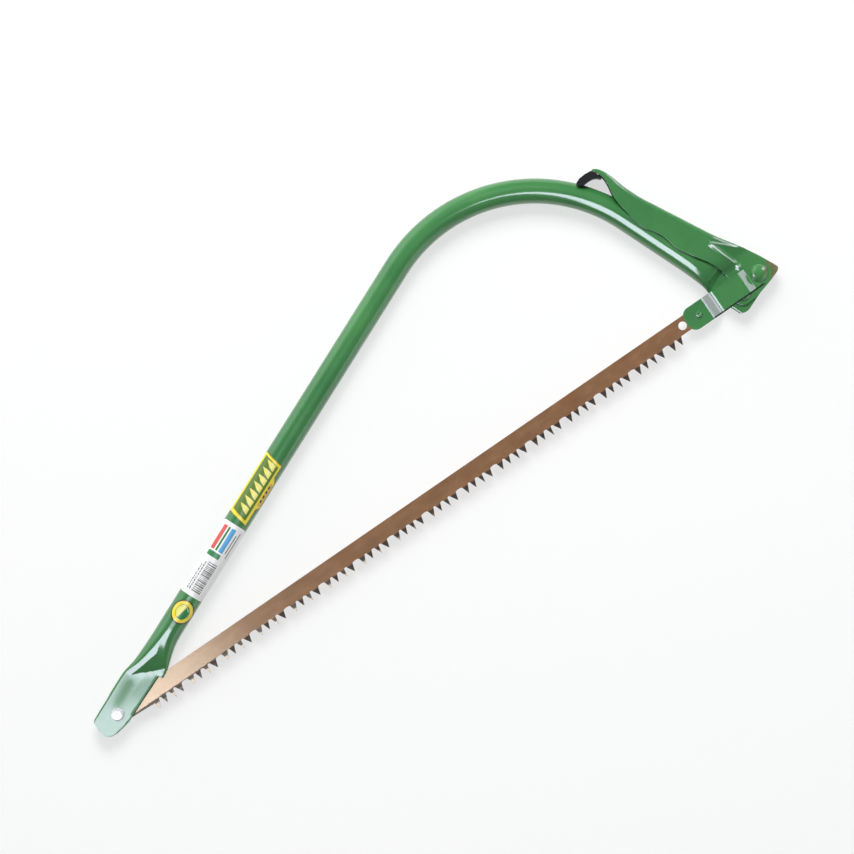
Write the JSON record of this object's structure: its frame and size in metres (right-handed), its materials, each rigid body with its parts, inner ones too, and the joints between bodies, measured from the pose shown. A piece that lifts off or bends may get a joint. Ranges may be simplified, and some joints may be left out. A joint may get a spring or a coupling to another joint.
{
  "type": "bow saw",
  "caption": "Bow saw with a bent tube frame, toothed blade and an over-centre lever that tensions the blade through a pair of link plates.",
  "frame": {"origin": "centre of the open spare hole in the blade, at the middle of the blade's thickness", "axes": "+X along the blade from the nose pin to the lever end, +Y from the blade towards the bow, +Z out of the saw's plane"},
  "size_m": [0.6177, 0.1958, 0.0226],
  "materials": {
    "green_paint": "gloss",
    "zinc": "satin",
    "blade_steel": "satin",
    "black_sleeve": "satin",
    "yellow_label": "gloss",
    "white_label": "gloss",
    "green_label": "gloss"
  },
  "bodies": {
    "frame": {"frame_tube": "green_paint", "nose_pin": "zinc", "nose_pin_clip": "zinc", "lever_pivot_rivet": "green_paint", "label_round": "yellow_label", "label_code": "white_label", "label_panel": "green_label"},
    "lever": {"tension_lever": "green_paint", "lever_grip_sleeve": "black_sleeve", "link_pivot_rivet": "green_paint", "link_pivot_spacer": "zinc"},
    "link": {"link_plate_front": "green_paint", "link_plate_back": "green_paint", "blade_link_pin": "green_paint"},
    "blade": {"saw_blade": "blade_steel"}
  },
  "joints": [
    {"name": "lever_pivot", "type": "hinge", "parent": "frame", "child": "lever", "pos_m": [0.0515, -0.005, 0], "axis": [0, 0, -1], "range_deg": [0, 90]},
    {"name": "link_pivot", "type": "hinge", "parent": "lever", "child": "link", "pos_m": [0.0696, 0.0003, 0], "axis": [0, 0, 1], "range_deg": [0, 50]},
    {"name": "blade_pivot", "type": "hinge", "parent": "frame", "child": "blade", "pos_m": [-0.515, 0, 0], "axis": [0, 0, 1], "range_deg": [0, 1.5]}
  ],
  "couplings": [
    {"joint": "link_pivot", "follows": "lever_pivot", "ratio": 0.535},
    {"joint": "blade_pivot", "follows": "lever_pivot", "ratio": 0.015}
  ]
}
